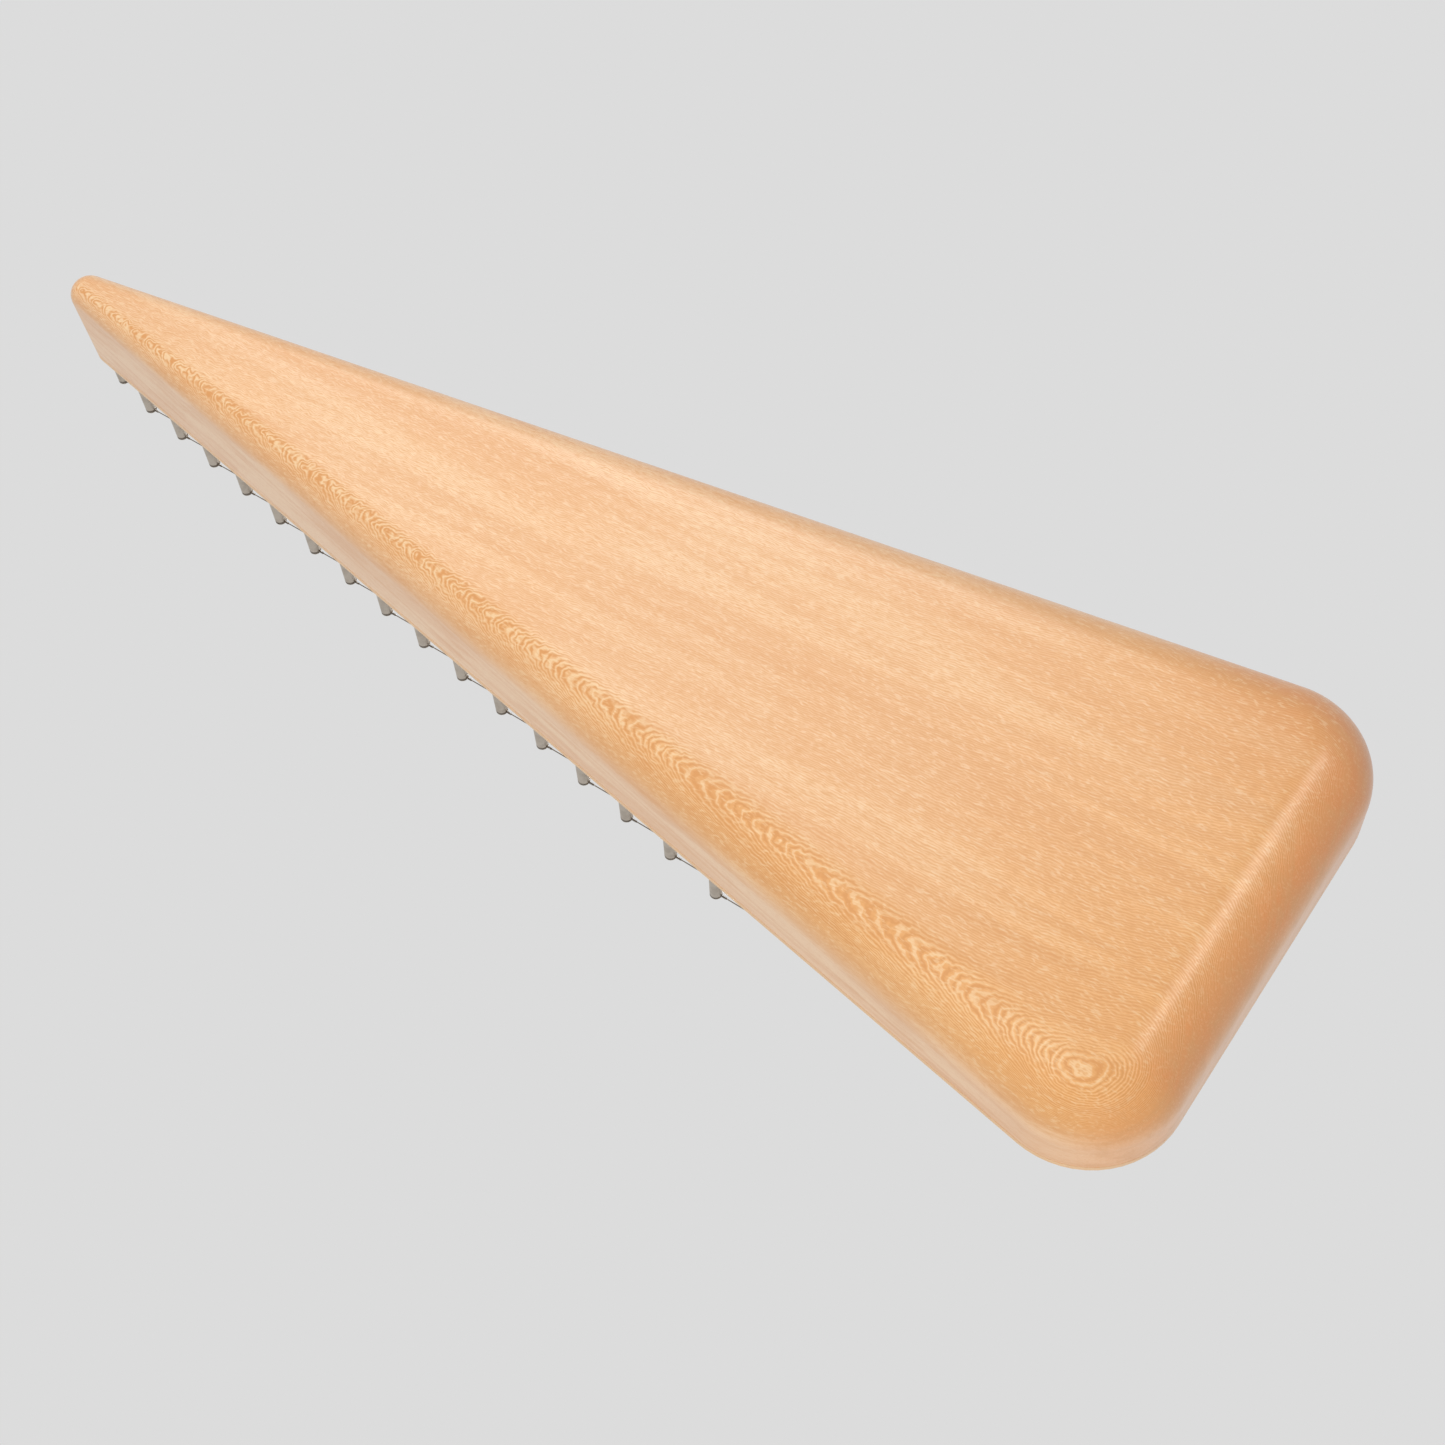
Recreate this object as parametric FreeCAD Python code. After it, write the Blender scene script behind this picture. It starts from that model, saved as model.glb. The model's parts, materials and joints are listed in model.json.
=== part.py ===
"""Bowed psaltery: a triangular box zither whose strings are sounded with a bow.

Units are millimetres. The instrument lies on its flat back, strings up.
+Z points up from the back, +Y points at the narrow tip, and +X is the side
that carries the longer row of hitch pins. The origin is under the middle of
the box. One STEP file is written for each sub-part.
"""
import FreeCAD
import Part
import math
import os

Vec = FreeCAD.Vector
UP = Vec(0, 0, 1)
FLUSH = 0.0001
OVERCUT = 1.0

# Body outline
BODY_LENGTH = 600.0
BODY_WIDTH = 204.0
BODY_DEPTH = 44.0
TIP_RADIUS = 9.0
BASE_CORNER_RADIUS = 36.5
BACK_ROUND_BASE = 26.0
BACK_ROUND_TIP = 8.2

# Plate and hollow
BOARD_THICKNESS = 3.2
BOARD_EDGE_ROUND = 0.8
BACK_THICKNESS = 5.0
SIDE_WALL = 13.0
BASE_WALL = 15.0
HOLLOW_TIP_RADIUS = 8.0
HOLLOW_CORNER_RADIUS = 20.0
HOLLOW_FLOOR_ROUND = 7.0
GLUE_GAP = 0.05

# Pin block and braces
BLOCK_LENGTH = 76.0
BRACE_WIDTH = 8.0
BRACE_HEIGHT = 12.0
BRACE_ROUND = 2.0
BRACES = {"brace_lower": 168.0, "brace_middle": 312.0, "brace_upper": 404.0}

# Soundhole and rosette
HOLE_FROM_BASE = 240.0
HOLE_RADIUS = 25.0
ROSE_RADIUS = 29.0
ROSE_THICKNESS = 2.0
ROSE_PETALS = 6
PETAL_LENGTH = 15.0
PETAL_BOW_RADIUS = 11.0
PETAL_START = 3.5
BEAD_RADIUS = 2.4
BEAD_RING = 20.6
BEAD_COUNT = 12

# Hitch pins
HITCH_RADIUS = 2.5
HITCH_PITCH = 25.4
HITCH_INSET = 4.5
HITCH_OUT = 20.5
HITCH_IN = 18.0
HITCH_LEAN = 0.08
HITCH_CHAMFER = 0.7
TIP_HITCH_SHIFT = 2.2
GROOVE_FROM_END = 1.6
GROOVE_HALF = 0.6
GROOVE_DEPTH = 0.45
NATURALS = 17
SHARPS_AFTER = (1, 2, 4, 5, 6, 8, 9, 11, 12, 13, 15, 16)
FIRST_HITCH_DROP = -1.0

# Strings
WIRE_RADIUS = 0.22
WIRE_GAP = 0.03
STRING_HEIGHT = 18.9

# Bridge
BRIDGE_FROM_BASE = 104.0
BRIDGE_HALF_LENGTH = 79.0
BRIDGE_FOOT = 13.0
BRIDGE_TOP = 6.0
BRIDGE_END_HEIGHT = 9.0
BRIDGE_END_RUN = 10.0
SADDLE_RADIUS = 1.25
SADDLE_PROUD = 0.3

# Tuning pins
TUNING_RADIUS = 2.5
TUNING_ROWS = (61.0, 46.0, 76.0)
RIGHT_FIRST = 6.0
RIGHT_PITCH = 4.2
LEFT_FIRST = -5.5
LEFT_PITCH = 5.7
TUNING_BOTTOM = -20.0
TUNING_TOP = 20.0
TUNING_COIL = 9.0
HEAD_LENGTH = 9.0
HEAD_SQUARE = 4.1
HEAD_CHAMFER = 0.4
EYE_RADIUS = 0.6
EYE_DROP = 3.4
RUNNING_GAP = 0.05
BOARD_GAP = 0.4

BASE_Y = -BODY_LENGTH / 2
TOP = BODY_DEPTH
RIM = BODY_DEPTH - BOARD_THICKNESS
TIP_CENTRE_Y = BASE_Y + BODY_LENGTH - TIP_RADIUS
CORNER_X = BODY_WIDTH / 2 - BASE_CORNER_RADIUS
CORNER_Y = BASE_Y + BASE_CORNER_RADIUS


def side_normal():
    """Outward normal of the +X side line, tangent to the tip and corner arcs."""
    run_x = CORNER_X
    run_y = CORNER_Y - TIP_CENTRE_Y
    span = math.hypot(run_x, run_y)
    along = (TIP_RADIUS - BASE_CORNER_RADIUS) / span
    across = math.sqrt(1 - along * along)
    unit_x = run_x / span
    unit_y = run_y / span
    return Vec(along * unit_x - across * unit_y, along * unit_y + across * unit_x, 0)


NORMAL = side_normal()
SIDE_OFFSET = NORMAL.y * TIP_CENTRE_Y + TIP_RADIUS
DOWN_SIDE = Vec(NORMAL.y, -NORMAL.x, 0)


def triangle(side_inset, base_inset, tip_radius, corner_radius, height):
    """Closed wire: three sides joined by a tip arc and two corner arcs."""
    reach = SIDE_OFFSET - side_inset
    tip = Vec(0, (reach - tip_radius) / NORMAL.y, height)
    corner_y = BASE_Y + base_inset + corner_radius
    corner_x = (reach - corner_radius - NORMAL.y * corner_y) / NORMAL.x
    right = Vec(corner_x, corner_y, height)
    left = Vec(-corner_x, corner_y, height)
    mirror = Vec(-NORMAL.x, NORMAL.y, 0)
    down = Vec(0, -1, 0)
    diagonal_r = (NORMAL + down).normalize()
    diagonal_l = (mirror + down).normalize()
    top_r = tip + NORMAL * tip_radius
    top_l = tip + mirror * tip_radius
    side_r = right + NORMAL * corner_radius
    side_l = left + mirror * corner_radius
    base_r = right + down * corner_radius
    base_l = left + down * corner_radius
    edges = [
        Part.Arc(top_l, tip + Vec(0, tip_radius, 0), top_r).toShape(),
        Part.LineSegment(top_r, side_r).toShape(),
        Part.Arc(side_r, right + diagonal_r * corner_radius, base_r).toShape(),
        Part.LineSegment(base_r, base_l).toShape(),
        Part.Arc(base_l, left + diagonal_l * corner_radius, side_l).toShape(),
        Part.LineSegment(side_l, top_l).toShape(),
    ]
    return Part.Wire(edges)


def slab(wire, thickness):
    return Part.Face(wire).extrude(UP * thickness)


def edges_at(shape, height):
    """Edges that lie wholly in the plane at this height."""
    found = []
    for edge in shape.Edges:
        box = edge.BoundBox
        if abs(box.ZMin - height) < FLUSH and abs(box.ZMax - height) < FLUSH:
            found.append(edge)
    return found


def round_the_back(block):
    """Round over the back edge: wide at the base, narrowing along the sides."""
    document = FreeCAD.newDocument("back")
    plain = document.addObject("Part::Feature", "plain")
    plain.Shape = block
    rounded = document.addObject("Part::Fillet", "rounded")
    rounded.Base = plain
    mid_y = (TIP_CENTRE_Y + CORNER_Y) / 2
    settings = []
    for number, edge in enumerate(plain.Shape.Edges, start=1):
        box = edge.BoundBox
        if abs(box.ZMin) > FLUSH or abs(box.ZMax) > FLUSH:
            continue
        first = edge.firstVertex().Point.y
        last = edge.lastVertex().Point.y
        start_radius = BACK_ROUND_TIP if first > mid_y else BACK_ROUND_BASE
        end_radius = BACK_ROUND_TIP if last > mid_y else BACK_ROUND_BASE
        settings.append((number, start_radius, end_radius))
    rounded.Edges = settings
    document.recompute()
    result = rounded.Shape.copy()
    FreeCAD.closeDocument(document.Name)
    return result


def hitch_foot(place):
    """Where a hitch pin's axis meets the face of the board, on the +X side."""
    from_tip = SIDE_OFFSET * NORMAL + Vec(0, 0, TOP)
    tangent = Vec(0, TIP_CENTRE_Y, 0) + NORMAL * TIP_RADIUS
    slide = (tangent - SIDE_OFFSET * NORMAL).dot(DOWN_SIDE)
    along = slide + FIRST_HITCH_DROP + HITCH_PITCH * (place - 1)
    return from_tip + DOWN_SIDE * along - NORMAL * HITCH_INSET


def mirrored(point):
    return Vec(-point.x, point.y, point.z)


def right_feet():
    """The longer row; its first pin stands nearer the middle of the narrow tip."""
    feet = [hitch_foot(place) for place in range(1, NATURALS + 1)]
    feet[0] -= Vec(TIP_HITCH_SHIFT, 0, 0)
    return feet


RIGHT_FEET = right_feet()
LEFT_FEET = [mirrored(hitch_foot(place + 0.5)) for place in SHARPS_AFTER]
LEAN = Vec(0, HITCH_LEAN, 1).normalize()
STRING_Z = TOP + STRING_HEIGHT


def lean_turn():
    return FreeCAD.Rotation(UP, LEAN)


def hitch_pin(foot):
    """Steel pin, chamfered at the top, with a groove for the string's loop."""
    low = foot - LEAN * HITCH_IN
    length = HITCH_IN + HITCH_OUT / LEAN.z
    body = Part.makeCylinder(HITCH_RADIUS, length)
    rims = edges_at(body, length)
    body = body.makeChamfer(HITCH_CHAMFER, rims)
    groove_low = length - GROOVE_FROM_END - GROOVE_HALF
    outer = Part.makeCylinder(HITCH_RADIUS + OVERCUT, 2 * GROOVE_HALF, Vec(0, 0, groove_low))
    inner = Part.makeCylinder(HITCH_RADIUS - GROOVE_DEPTH, 2 * GROOVE_HALF, Vec(0, 0, groove_low))
    body = body.cut(outer.cut(inner))
    body.Placement = FreeCAD.Placement(low, lean_turn())
    return body


def hitch_holes(feet):
    """Round holes that the pins are pressed into."""
    holes = []
    for foot in feet:
        low = foot - LEAN * HITCH_IN
        holes.append(Part.makeCylinder(HITCH_RADIUS, 2 * HITCH_IN, low, LEAN))
    return holes


def groove_centre(foot):
    length = HITCH_OUT / LEAN.z - GROOVE_FROM_END
    return foot + LEAN * length


def tuning_spots():
    """Tuning pin axes, left to right, in three staggered rows."""
    across = [LEFT_FIRST - LEFT_PITCH * step for step in range(len(LEFT_FEET))]
    across.reverse()
    across += [RIGHT_FIRST + RIGHT_PITCH * step for step in range(len(RIGHT_FEET))]
    spots = []
    for rank, x in enumerate(across):
        row = TUNING_ROWS[rank % len(TUNING_ROWS)]
        spots.append(Vec(x, BASE_Y + row, 0))
    return spots


TUNING_SPOTS = tuning_spots()


def tuning_pin(spot):
    """Zither pin: round shank, eye for the wire, squared head for the wrench."""
    low = TOP + TUNING_BOTTOM
    high = TOP + TUNING_TOP
    shank = Part.makeCylinder(TUNING_RADIUS, high - low, Vec(0, 0, low))
    shank = shank.makeChamfer(HEAD_CHAMFER, edges_at(shank, high) + edges_at(shank, low))
    half = HEAD_SQUARE / 2
    wide = 2 * (TUNING_RADIUS + OVERCUT)
    ring = Part.makeBox(wide, wide, HEAD_LENGTH, Vec(-wide / 2, -wide / 2, high - HEAD_LENGTH))
    core = Part.makeBox(HEAD_SQUARE, HEAD_SQUARE, HEAD_LENGTH, Vec(-half, -half, high - HEAD_LENGTH))
    shank = shank.cut(ring.cut(core))
    eye_z = TOP + TUNING_COIL - EYE_DROP
    eye = Part.makeCylinder(EYE_RADIUS, wide, Vec(-wide / 2, 0, eye_z), Vec(1, 0, 0))
    shank = shank.cut(eye)
    shank.translate(spot)
    return shank


def wire_route(start, corner, end, bend):
    """Two straight runs joined by an arc that lies over the saddle rod."""
    back = (start - corner).normalize()
    onward = (end - corner).normalize()
    turn = math.pi - back.getAngle(onward)
    cut = bend * math.tan(turn / 2)
    inward = (back + onward).normalize()
    top = corner + inward * (bend / math.cos(turn / 2) - bend)
    arc = Part.Arc(corner + back * cut, top, corner + onward * cut)
    first = Part.LineSegment(start, corner + back * cut)
    last = Part.LineSegment(corner + onward * cut, end)
    return Part.Wire([first.toShape(), arc.toShape(), last.toShape()])


def string(foot, spot):
    """One wire: loop in the hitch pin's groove, over the saddle, to its tuning pin."""
    centre = groove_centre(foot)
    loop_radius = HITCH_RADIUS - GROOVE_DEPTH + WIRE_RADIUS + WIRE_GAP
    loop = Part.makeTorus(loop_radius, WIRE_RADIUS, centre, LEAN)
    leave = centre - Vec(0, loop_radius, 0)
    over = Vec(foot.x, BASE_Y + BRIDGE_FROM_BASE, STRING_Z)
    side = TUNING_RADIUS + WIRE_RADIUS + WIRE_GAP
    arrive = Vec(spot.x + side, spot.y, TOP + TUNING_COIL)
    route = wire_route(leave, over, arrive, SADDLE_RADIUS + WIRE_RADIUS + WIRE_GAP)
    section = Part.Circle(leave, over - leave, WIRE_RADIUS)
    wire = route.makePipeShell([Part.Wire(section.toShape())], True, False)
    return loop.fuse(wire)


def hollow(gap, low, height):
    """The carved hollow, less a gap all round for what is fitted into it."""
    wire = triangle(SIDE_WALL + gap, BASE_WALL + gap, HOLLOW_TIP_RADIUS, HOLLOW_CORNER_RADIUS, low)
    return slab(wire, height)


def deep_hollow(gap, height):
    """The hollow from its floor up, rounded where the walls meet the floor."""
    space = hollow(gap, BACK_THICKNESS, height)
    return space.makeFillet(HOLLOW_FLOOR_ROUND, edges_at(space, BACK_THICKNESS))


def body_shell():
    block = slab(triangle(0, 0, TIP_RADIUS, BASE_CORNER_RADIUS, 0), RIM)
    shell = round_the_back(block)
    shell = shell.cut(deep_hollow(0, BODY_DEPTH))
    return shell.cut(hitch_holes(RIGHT_FEET + LEFT_FEET))


def soundboard():
    plate = slab(triangle(0, 0, TIP_RADIUS, BASE_CORNER_RADIUS, RIM), BOARD_THICKNESS)
    plate = plate.makeFillet(BOARD_EDGE_ROUND, edges_at(plate, TOP))
    through = BOARD_THICKNESS + 2 * OVERCUT
    centre = Vec(0, BASE_Y + HOLE_FROM_BASE, RIM - OVERCUT)
    cuts = [Part.makeCylinder(HOLE_RADIUS, through, centre)]
    cuts += hitch_holes(RIGHT_FEET + LEFT_FEET)
    for spot in TUNING_SPOTS:
        low = spot + Vec(0, 0, RIM - OVERCUT)
        cuts.append(Part.makeCylinder(TUNING_RADIUS + BOARD_GAP, through, low))
    return plate.cut(cuts)


def pin_block():
    fill = deep_hollow(GLUE_GAP, RIM - BACK_THICKNESS)
    low = Vec(-BODY_WIDTH, BASE_Y, 0)
    keep = Part.makeBox(2 * BODY_WIDTH, BASE_WALL + BLOCK_LENGTH, BODY_DEPTH, low)
    block = fill.common(keep)
    holes = []
    for spot in TUNING_SPOTS:
        foot = spot + Vec(0, 0, TOP + TUNING_BOTTOM - OVERCUT)
        holes.append(Part.makeCylinder(TUNING_RADIUS + RUNNING_GAP, BODY_DEPTH, foot))
    return block.cut(holes)


def brace(from_base):
    fill = hollow(GLUE_GAP, RIM - BRACE_HEIGHT, BRACE_HEIGHT)
    low = Vec(-BODY_WIDTH, BASE_Y + from_base - BRACE_WIDTH / 2, 0)
    bar = fill.common(Part.makeBox(2 * BODY_WIDTH, BRACE_WIDTH, BODY_DEPTH, low))
    lower = []
    for edge in edges_at(bar, RIM - BRACE_HEIGHT):
        if edge.BoundBox.YLength < BRACE_WIDTH / 2:
            lower.append(edge)
    return bar.makeFillet(BRACE_ROUND, lower)


def petal(angle):
    """Lens between two equal circles, pointing outwards from the centre."""
    half = PETAL_LENGTH / 2
    shift = math.sqrt(PETAL_BOW_RADIUS ** 2 - half ** 2)
    out = PETAL_START + half
    low = RIM - ROSE_THICKNESS - OVERCUT
    tall = ROSE_THICKNESS + 2 * OVERCUT
    first = Part.makeCylinder(PETAL_BOW_RADIUS, tall, Vec(out, shift, low))
    second = Part.makeCylinder(PETAL_BOW_RADIUS, tall, Vec(out, -shift, low))
    lens = first.common(second)
    lens.rotate(Vec(0, 0, 0), UP, angle)
    return lens


def rosette():
    """Pierced disc glued under the soundhole: petals and a ring of round beads."""
    low = RIM - ROSE_THICKNESS
    disc = Part.makeCylinder(ROSE_RADIUS, ROSE_THICKNESS, Vec(0, 0, low))
    cuts = [petal(360 / ROSE_PETALS * turn) for turn in range(ROSE_PETALS)]
    for turn in range(BEAD_COUNT):
        angle = math.radians(360 / BEAD_COUNT * (turn + 0.5))
        spot = Vec(BEAD_RING * math.cos(angle), BEAD_RING * math.sin(angle), low - OVERCUT)
        cuts.append(Part.makeCylinder(BEAD_RADIUS, ROSE_THICKNESS + 2 * OVERCUT, spot))
    disc = disc.cut(cuts)
    disc.translate(Vec(0, BASE_Y + HOLE_FROM_BASE, 0))
    return disc


def saddle_centre_z():
    return STRING_Z - WIRE_RADIUS - WIRE_GAP - SADDLE_RADIUS


def bridge():
    """Tapered hardwood bar with sloped ends and a groove for the saddle rod."""
    y = BASE_Y + BRIDGE_FROM_BASE
    high = saddle_centre_z() - SADDLE_PROUD
    ends = BRIDGE_HALF_LENGTH
    profile = [
        Vec(-ends, y - BRIDGE_FOOT / 2, TOP),
        Vec(-ends, y + BRIDGE_FOOT / 2, TOP),
        Vec(-ends, y + BRIDGE_TOP / 2, high),
        Vec(-ends, y - BRIDGE_TOP / 2, high),
    ]
    bar = Part.Face(Part.makePolygon(profile + profile[:1])).extrude(Vec(2 * ends, 0, 0))
    outline = [
        Vec(-ends, 0, TOP),
        Vec(ends, 0, TOP),
        Vec(ends, 0, TOP + BRIDGE_END_HEIGHT),
        Vec(ends - BRIDGE_END_RUN, 0, high),
        Vec(BRIDGE_END_RUN - ends, 0, high),
        Vec(-ends, 0, TOP + BRIDGE_END_HEIGHT),
    ]
    front = Part.Face(Part.makePolygon(outline + outline[:1]))
    front.translate(Vec(0, y - BRIDGE_FOOT, 0))
    bar = bar.common(front.extrude(Vec(0, 2 * BRIDGE_FOOT, 0)))
    start = Vec(-ends, y, saddle_centre_z())
    return bar.cut(Part.makeCylinder(SADDLE_RADIUS, 2 * ends, start, Vec(1, 0, 0)))


def bridge_saddle():
    half = BRIDGE_HALF_LENGTH - BRIDGE_END_RUN
    start = Vec(-half, BASE_Y + BRIDGE_FROM_BASE, saddle_centre_z())
    return Part.makeCylinder(SADDLE_RADIUS, 2 * half, start, Vec(1, 0, 0))


def save(name, shape):
    if not shape.isValid() or shape.Volume <= 0:
        raise ValueError(name + " is not a sound solid")
    shape.exportStep("parts/" + name + ".step")
    print(name, len(shape.Solids), "solids", round(shape.Volume / 1000, 2), "cm3")


def main():
    os.makedirs("parts", exist_ok=True)
    save("body_shell", body_shell())
    save("soundboard", soundboard())
    save("pin_block", pin_block())
    for name, from_base in BRACES.items():
        save(name, brace(from_base))
    save("rosette", rosette())
    save("bridge", bridge())
    save("bridge_saddle", bridge_saddle())
    save("hitch_pins_right", Part.makeCompound([hitch_pin(foot) for foot in RIGHT_FEET]))
    save("hitch_pins_left", Part.makeCompound([hitch_pin(foot) for foot in LEFT_FEET]))
    feet = LEFT_FEET[::-1] + RIGHT_FEET
    wires = [string(foot, spot) for foot, spot in zip(feet, TUNING_SPOTS)]
    save("strings_left", Part.makeCompound(wires[:len(LEFT_FEET)]))
    save("strings_right", Part.makeCompound(wires[len(LEFT_FEET):]))
    for rank, spot in enumerate(TUNING_SPOTS, start=1):
        save("tuning_pin_%02d" % rank, tuning_pin(spot))


main()
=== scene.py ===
import json
import math

import bmesh
import bpy
from mathutils import Matrix, Vector


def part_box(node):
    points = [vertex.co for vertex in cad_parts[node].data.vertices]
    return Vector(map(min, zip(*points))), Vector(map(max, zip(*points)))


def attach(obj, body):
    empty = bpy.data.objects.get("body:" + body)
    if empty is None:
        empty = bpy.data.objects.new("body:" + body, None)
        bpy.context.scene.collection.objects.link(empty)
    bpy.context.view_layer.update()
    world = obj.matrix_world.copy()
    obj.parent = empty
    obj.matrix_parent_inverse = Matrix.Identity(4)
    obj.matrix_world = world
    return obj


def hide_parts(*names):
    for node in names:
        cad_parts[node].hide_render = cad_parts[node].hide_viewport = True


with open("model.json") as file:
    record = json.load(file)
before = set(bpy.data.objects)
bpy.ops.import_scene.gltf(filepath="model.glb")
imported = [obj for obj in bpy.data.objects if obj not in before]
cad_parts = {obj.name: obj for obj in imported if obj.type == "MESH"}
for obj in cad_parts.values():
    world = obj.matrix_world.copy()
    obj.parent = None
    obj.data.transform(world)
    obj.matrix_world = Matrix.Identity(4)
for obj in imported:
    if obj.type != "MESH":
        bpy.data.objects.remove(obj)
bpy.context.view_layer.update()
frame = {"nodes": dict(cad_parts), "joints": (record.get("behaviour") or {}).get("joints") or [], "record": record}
NODES = frame["nodes"]

MM = 0.001
SHELL_LOW, SHELL_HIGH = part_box("body_shell")
BODY_LENGTH = SHELL_HIGH.y - SHELL_LOW.y
ROSE_LOW, ROSE_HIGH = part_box("rosette")

# Carved body: outline arcs, rounded back edge, hollow
TIP_RADIUS = 9.0 * MM
CORNER_RADIUS = 36.5 * MM
BACK_ROUND_TIP = 8.2 * MM
BACK_ROUND_BASE = 26.0 * MM
RIM_BEVEL = 0.3 * MM
HOLLOW_SIDE = 13.0 * MM
HOLLOW_BASE = 15.0 * MM
HOLLOW_TIP_RADIUS = 8.0 * MM
HOLLOW_CORNER_RADIUS = 20.0 * MM
HOLLOW_FLOOR = 5.0 * MM
HOLLOW_FLOOR_ROUND = 7.0 * MM
SEAM_LOOP = 0.4 * MM
ROUND_STEPS = 24
FLOOR_ROUND_STEPS = 6
TIP_STEPS = 28
SIDE_STEPS = 150
CORNER_STEPS = 40
BASE_STEPS = 40

# Wire work
WIRE = 0.22 * MM
LOOP_RADIUS = 2.3 * MM
TWIST_TURNS = 4
TWIST_LENGTH = 2.8 * MM
TWIST_RADIUS = 0.33 * MM
PIN_RADIUS = 2.5 * MM
COIL_BELOW_HEAD = 11.0 * MM
EYE_BELOW_COIL = 3.4 * MM
COIL_TURNS = 4.5
COIL_GAP = 0.02 * MM
COIL_LEVEL_STEPS = 30
COIL_STEPS_PER_TURN = 24
TAIL_STEPS = (0.93, 0.8, 0.6, 0.3, 0.0)
TWIST_STEPS_PER_TURN = 12
TWIST_TAPER = 0.1
TWIST_WIRE = 0.92 * WIRE
SAME_POINT = 1e-7
TUBE_SIDES = 8

# Growth layers of the carved back: they lie nearly flat and dip to the +X side
LAYER_DIP = math.radians(18.0)
LAYER_YAW = math.radians(-7.0)
LAYER_PITCH = 0.34
BASE_BEND_START = 235.0
BASE_BEND = 0.001
LAYER_TWIST = 0.08
SIDE_SLOPE = 0.155
LACEWOOD_DEEP = (0.74, 0.335, 0.105, 1)
LACEWOOD_PALE = (0.95, 0.70, 0.42, 1)
LACEWOOD_GOLD = (0.870, 0.505, 0.240, 1)
LACEWOOD_HONEY = (0.880, 0.545, 0.285, 1)
LACEWOOD_WARM = (0.880, 0.440, 0.150, 1)
# Painted shade: a dark rust tone for the far base corner, where less light is mirrored
PAINTED_CORNER_SHADE = (0.70, 0.245, 0.050, 1)
# Painted shade: a still darker tone for the roll at the far base corner
PAINTED_CORNER_ROLL_SHADE = (0.70, 0.190, 0.030, 1)
LACEWOOD_END = (0.84, 0.255, 0.040, 1)
# Painted shade: a deeper amber for the +X roll near the base, where the lacquer mirrors less light
PAINTED_ROLL_SHADE = (0.84, 0.400, 0.105, 1)
# Painted sheen: a paler tone that stands in for the lacquer's pale reflection on the side walls
PAINTED_WALL_SHEEN = (0.99, 0.71, 0.48, 1)
# Painted sheen: a paler tone for the flat along the -X edge; it is not sapwood
PAINTED_FAR_EDGE_SHEEN = (0.96, 0.655, 0.42, 1)
# Painted sheen: a paler tone where the +X roll meets the wall towards the tip
PAINTED_ROLL_SHEEN = (1.0, 0.68, 0.43, 1)
LAYER_ACROSS = (
    math.sin(LAYER_DIP) * math.cos(LAYER_YAW),
    math.sin(LAYER_DIP) * math.sin(LAYER_YAW),
    -math.cos(LAYER_DIP),
)

# Relief of the other finishes
PORE_DEPTH = 0.12 * MM
TOOL_MARK = 0.02 * MM

# Soundboard, and the rings let in round its hole: radius, half width, colour
SPRUCE_EARLY = (0.84, 0.58, 0.31, 1)
SPRUCE_LATE = (0.60, 0.33, 0.13, 1)
SPRUCE_SILK = (0.93, 0.74, 0.48, 1)
SPRUCE_EDGE = (0.86, 0.52, 0.25, 1)
EBONY = (0.045, 0.022, 0.012, 1)
MAPLE = (0.80, 0.66, 0.42, 1)
RING_ROSEWOOD = (0.16, 0.062, 0.028, 1)
RING_INLAYS = (
    (28.2, 0.45, EBONY),
    (29.4, 0.45, MAPLE),
    (31.2, 1.10, RING_ROSEWOOD),
    (33.0, 0.45, MAPLE),
    (34.2, 0.45, EBONY),
)

# Camera and studio
CAMERA_STAND = (0.33339, -0.36995, -0.60740)
CAMERA_AIM = (0.03773, -0.09175, -0.00070)
CAMERA_ROLL = math.radians(171.109)
CAMERA_LENS = 49.34
STUDIO_GREY = 0.716
STUDIO_AMBIENT = 0.42
LIGHT_AIM = (0.0, 0.0, 0.02)
NEUTRAL = (1.0, 0.99, 0.98)
WARM = (1.0, 0.985, 0.96)
LIGHTS = (
    ("veil_below", (-0.62, 0.50, -1.00), (1.1, 0.8), 5.6, NEUTRAL, "both"),
    ("base_strip", (-0.70, -0.75, -1.20), (0.5, 0.3), 2.4, NEUTRAL, "mirror"),
    ("key_above", (-0.90, 0.60, 2.00), (0.7, 0.7), 17.0, (1.0, 0.98, 0.95), "both"),
    ("key_below", (0.76, 0.15, -1.35), (1.2, 1.2), 9.9, WARM, "light"),
    ("base_fill", (1.30, -1.20, -0.50), (1.0, 1.0), 8.5, WARM, "light"),
    ("fill_above", (0.70, -0.60, 2.20), (0.8, 0.8), 14.0, (1.0, 0.98, 0.96), "light"),
    ("side_left", (-1.50, 0.40, 1.40), (0.8, 0.8), 3.0, NEUTRAL, "light"),
)
FLOOR_SIZE = 6.0
FLOOR_GAP = 0.0006
PAPER_CLEAR = 900.0
PAPER_GONE = 2600.0


class Signal:
    """A value on its way through a finish's nodes; sums and products add nodes."""

    def __init__(self, finish, socket):
        self.finish = finish
        self.socket = socket

    def __add__(self, other):
        return self.finish.maths("ADD", self, other)

    def __radd__(self, other):
        return self.finish.maths("ADD", other, self)

    def __sub__(self, other):
        return self.finish.maths("SUBTRACT", self, other)

    def __rsub__(self, other):
        return self.finish.maths("SUBTRACT", other, self)

    def __mul__(self, other):
        return self.finish.maths("MULTIPLY", self, other)

    def __rmul__(self, other):
        return self.finish.maths("MULTIPLY", other, self)


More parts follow.
